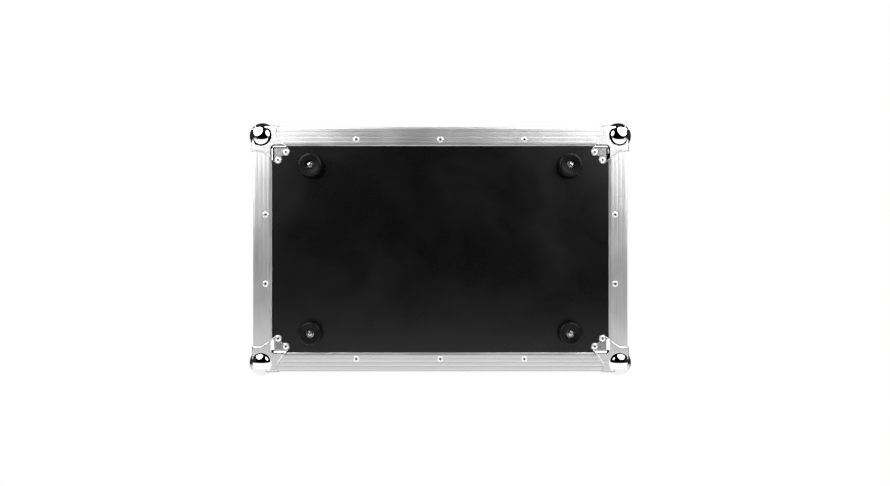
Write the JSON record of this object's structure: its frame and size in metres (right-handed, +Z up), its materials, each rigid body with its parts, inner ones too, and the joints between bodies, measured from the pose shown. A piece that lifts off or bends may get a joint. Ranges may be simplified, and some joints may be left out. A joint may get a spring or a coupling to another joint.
{
  "type": "flight case",
  "caption": "Laminated-board flight case with aluminium edging, ball corners, hinged lid, recessed butterfly latches, sprung handle, rubber feet and foam lining.",
  "frame": {"origin": "middle of the case's outer box at the feet's lower faces", "axes": "+Z up with the case on its feet; the latches and the handle face -Y, the hinges face +Y; +X is the case's right as the latches are seen"},
  "size_m": [0.6108, 0.4067, 0.2659],
  "materials": {
    "laminate": "black fine-grained laminate on plywood",
    "rail_aluminium": "drawn, clear anodised, fine grooves",
    "chromed_steel": "bright chrome on pressed steel",
    "zinc_steel": "bright zinc on pressed steel",
    "plain_steel": "plain steel",
    "rivet_aluminium": "bright blind-rivet heads",
    "black_rubber": "matt moulded rubber",
    "foam": "charcoal closed-cell foam"
  },
  "bodies": {
    "base": {"bottom_panel": "laminate", "base_front_panel": "laminate", "base_back_panel": "laminate", "base_left_panel": "laminate", "base_right_panel": "laminate", "bottom_front_rail": "rail_aluminium", "bottom_back_rail": "rail_aluminium", "bottom_left_rail": "rail_aluminium", "bottom_right_rail": "rail_aluminium", "base_corner_posts": "rail_aluminium", "base_closure": "rail_aluminium", "bottom_ball_front_left": "chromed_steel", "bottom_ball_front_right": "chromed_steel", "bottom_ball_back_left": "chromed_steel", "bottom_ball_back_right": "chromed_steel", "base_rim_braces": "chromed_steel", "rubber_feet": "black_rubber", "foot_screws": "plain_steel", "base_rivets": "rivet_aluminium", "base_foam_floor": "foam", "base_foam_front": "foam", "base_foam_sides": "foam", "latch_dish_left": "zinc_steel", "latch_dish_right": "zinc_steel", "handle_dish": "zinc_steel", "hinge_base_leaves": "chromed_steel", "hinge_pins": "plain_steel"},
    "lid": {"lid_top_panel": "laminate", "lid_front_panel": "laminate", "lid_back_panel": "laminate", "lid_left_panel": "laminate", "lid_right_panel": "laminate", "lid_front_rail": "rail_aluminium", "lid_back_rail": "rail_aluminium", "lid_left_rail": "rail_aluminium", "lid_right_rail": "rail_aluminium", "lid_corner_posts": "rail_aluminium", "lid_closure": "rail_aluminium", "lid_ball_front_left": "chromed_steel", "lid_ball_front_right": "chromed_steel", "lid_ball_back_left": "chromed_steel", "lid_ball_back_right": "chromed_steel", "lid_rim_braces": "chromed_steel", "lid_rivets": "rivet_aluminium", "lid_foam_top": "foam", "lid_foam_sides": "foam", "keeper_dish_left": "zinc_steel", "keeper_dish_right": "zinc_steel", "hinge_lid_leaves": "chromed_steel"},
    "spindle_left": {"latch_spindle_left": "zinc_steel"},
    "wing_left": {"latch_wing_left": "zinc_steel"},
    "draw_left": {"latch_draw_left": "zinc_steel"},
    "hook_left": {"latch_hook_left": "zinc_steel"},
    "spindle_right": {"latch_spindle_right": "zinc_steel"},
    "wing_right": {"latch_wing_right": "zinc_steel"},
    "draw_right": {"latch_draw_right": "zinc_steel"},
    "hook_right": {"latch_hook_right": "zinc_steel"},
    "handle": {"handle_bail": "zinc_steel", "handle_grip": "black_rubber", "handle_spring": "plain_steel"}
  },
  "joints": [
    {"name": "lid_hinge", "type": "hinge", "parent": "base", "child": "lid", "pos_m": [0, 0.1988, 0.15865], "axis": [-1, 0, 0], "range_deg": [0, 100]},
    {"name": "latch_left_turn", "type": "hinge", "parent": "base", "child": "spindle_left", "pos_m": [-0.15, -0.1865, 0.1245], "axis": [0, 1, 0], "range_deg": [0, 180]},
    {"name": "latch_left_wing", "type": "hinge", "parent": "spindle_left", "child": "wing_left", "pos_m": [-0.15, -0.1875, 0.1245], "axis": [-1, 0, 0], "range_deg": [0, 90]},
    {"name": "latch_left_draw", "type": "slide", "parent": "base", "child": "draw_left", "axis": [0, 0, -1], "range_m": [0, 0.009]},
    {"name": "latch_left_hook", "type": "hinge", "parent": "draw_left", "child": "hook_left", "pos_m": [-0.15, -0.1813, 0.1475], "axis": [-1, 0, 0], "range_deg": [0, 9.7]},
    {"name": "latch_right_turn", "type": "hinge", "parent": "base", "child": "spindle_right", "pos_m": [0.15, -0.1865, 0.1245], "axis": [0, 1, 0], "range_deg": [0, 180]},
    {"name": "latch_right_wing", "type": "hinge", "parent": "spindle_right", "child": "wing_right", "pos_m": [0.15, -0.1875, 0.1245], "axis": [-1, 0, 0], "range_deg": [0, 90]},
    {"name": "latch_right_draw", "type": "slide", "parent": "base", "child": "draw_right", "axis": [0, 0, -1], "range_m": [0, 0.009]},
    {"name": "latch_right_hook", "type": "hinge", "parent": "draw_right", "child": "hook_right", "pos_m": [0.15, -0.1813, 0.1475], "axis": [-1, 0, 0], "range_deg": [0, 9.7]},
    {"name": "handle_fold", "type": "hinge", "parent": "base", "child": "handle", "pos_m": [0, -0.1859, 0.111], "axis": [-1, 0, 0], "range_deg": [0, 90], "stiffness_Nm_per_rad": 0.15, "springref_deg": -20.05}
  ],
  "couplings": [
    {"joint": "latch_left_turn", "follows": "latch_left_draw", "rad_per_m": 349.07},
    {"joint": "latch_right_turn", "follows": "latch_right_draw", "rad_per_m": 349.07}
  ]
}
